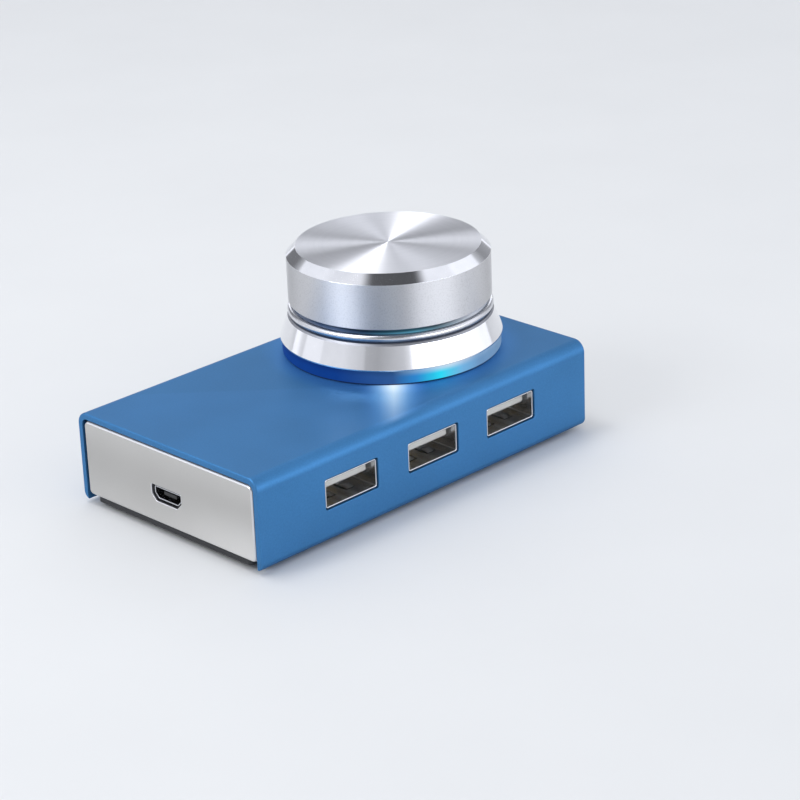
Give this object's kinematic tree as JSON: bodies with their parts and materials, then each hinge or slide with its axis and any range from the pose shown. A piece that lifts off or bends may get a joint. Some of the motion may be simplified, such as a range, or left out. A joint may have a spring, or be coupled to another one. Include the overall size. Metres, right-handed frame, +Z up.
{
  "type": "usb volume control knob",
  "caption": "Low blue metal box with a large silver push-and-turn knob on a flared ring with a light ring, USB sockets along one side and a micro-USB inlet in one end.",
  "frame": {"origin": "centre of the footprint, on the surface that the rubber feet stand on", "axes": "+X along the case away from the micro-USB end, -Y towards the side with the USB-A sockets, +Z up"},
  "size_m": [0.0874, 0.05, 0.0403],
  "materials": {
    "blue_case": "sand-blasted, blue anodised",
    "grey_panel": "matt light grey with a bright bevelled edge",
    "black_base": "black powder coat",
    "foot_rubber": "matt black rubber",
    "gasket_rubber": "black foam rubber",
    "zinc_screw": "zinc-plated screw steel",
    "post_brass": "turned brass",
    "green_board": "green solder mask over glass laminate",
    "port_steel": "tinned sheet steel",
    "tongue_plastic": "white moulded plastic",
    "black_plastic": "black moulded plastic",
    "gold_contact": "gold-plated contact",
    "tin_lead": "tinned lead",
    "bright_can": "drawn bright can",
    "brown_capacitor": "fired ceramic",
    "blue_plastic": "blue moulded plastic",
    "spring_steel": "spring steel strip",
    "zinc_bush": "die-cast and turned",
    "light_ring": "translucent, glows blue",
    "polished_ring": "turned and mirror polished",
    "knob_metal": "bead-blasted side, spun top, polished chamfer",
    "led_body": "white side-view diode body",
    "hub_plastic": "glass-filled nylon"
  },
  "bodies": {
    "case": {"base_plate": "black_base", "base_screws": "zinc_screw", "chip_capacitors": "brown_capacitor", "controller_chip": "black_plastic", "controller_leads": "tin_lead", "crystal_can": "bright_can", "detent_spring": "spring_steel", "encoder_base": "blue_plastic", "encoder_bracket": "port_steel", "encoder_bush": "zinc_bush", "encoder_pins": "tin_lead", "flare_ring": "polished_ring", "housing_shell": "blue_case", "hub_chip": "black_plastic", "hub_chip_leads": "tin_lead", "left_end_panel": "grey_panel", "light_board": "green_board", "light_ring": "light_ring", "link_block": "black_plastic", "link_pins": "gold_contact", "lower_posts": "post_brass", "main_board": "green_board", "micro_usb_contacts": "gold_contact", "micro_usb_shell": "port_steel", "micro_usb_tongue": "black_plastic", "regulator_chip": "black_plastic", "reservoir_capacitors": "bright_can", "right_end_panel": "grey_panel", "ring_gasket": "gasket_rubber", "ring_leds": "led_body", "ring_screws": "zinc_screw", "rubber_feet": "foot_rubber", "switch_case": "blue_plastic", "switch_dome": "spring_steel", "switch_pins": "tin_lead", "upper_posts": "post_brass", "usb_a_contacts_1": "gold_contact", "usb_a_contacts_2": "gold_contact", "usb_a_contacts_3": "gold_contact", "usb_a_shell_1": "port_steel", "usb_a_shell_2": "port_steel", "usb_a_shell_3": "port_steel", "usb_a_tongue_1": "tongue_plastic", "usb_a_tongue_2": "tongue_plastic", "usb_a_tongue_3": "tongue_plastic"},
    "press_stem": {"switch_plunger": "hub_plastic"},
    "knob": {"knob_cap": "knob_metal", "knob_hub": "hub_plastic", "hub_spring": "spring_steel", "encoder_shaft": "zinc_bush", "shaft_clip": "spring_steel"},
    "rotor": {"encoder_rotor": "hub_plastic", "rotor_wipers": "spring_steel"}
  },
  "joints": [
    {"name": "knob_press", "type": "slide", "parent": "case", "child": "press_stem", "axis": [0, 0, -1], "range_m": [0, 0.0005], "stiffness_N_per_m": 2000, "springref_m": -0.0005, "deforming": ["switch_dome"]},
    {"name": "knob_turn", "type": "hinge", "parent": "press_stem", "child": "knob", "pos_m": [0.0182, 0.0031, 0.03], "axis": [0, 0, 1], "continuous": true},
    {"name": "rotor_turn", "type": "hinge", "parent": "case", "child": "rotor", "pos_m": [0.0182, 0.0031, 0.01], "axis": [0, 0, 1], "continuous": true, "deforming": ["detent_spring"]}
  ],
  "couplings": [
    {"joint": "rotor_turn", "follows": "knob_turn", "ratio": 1}
  ]
}
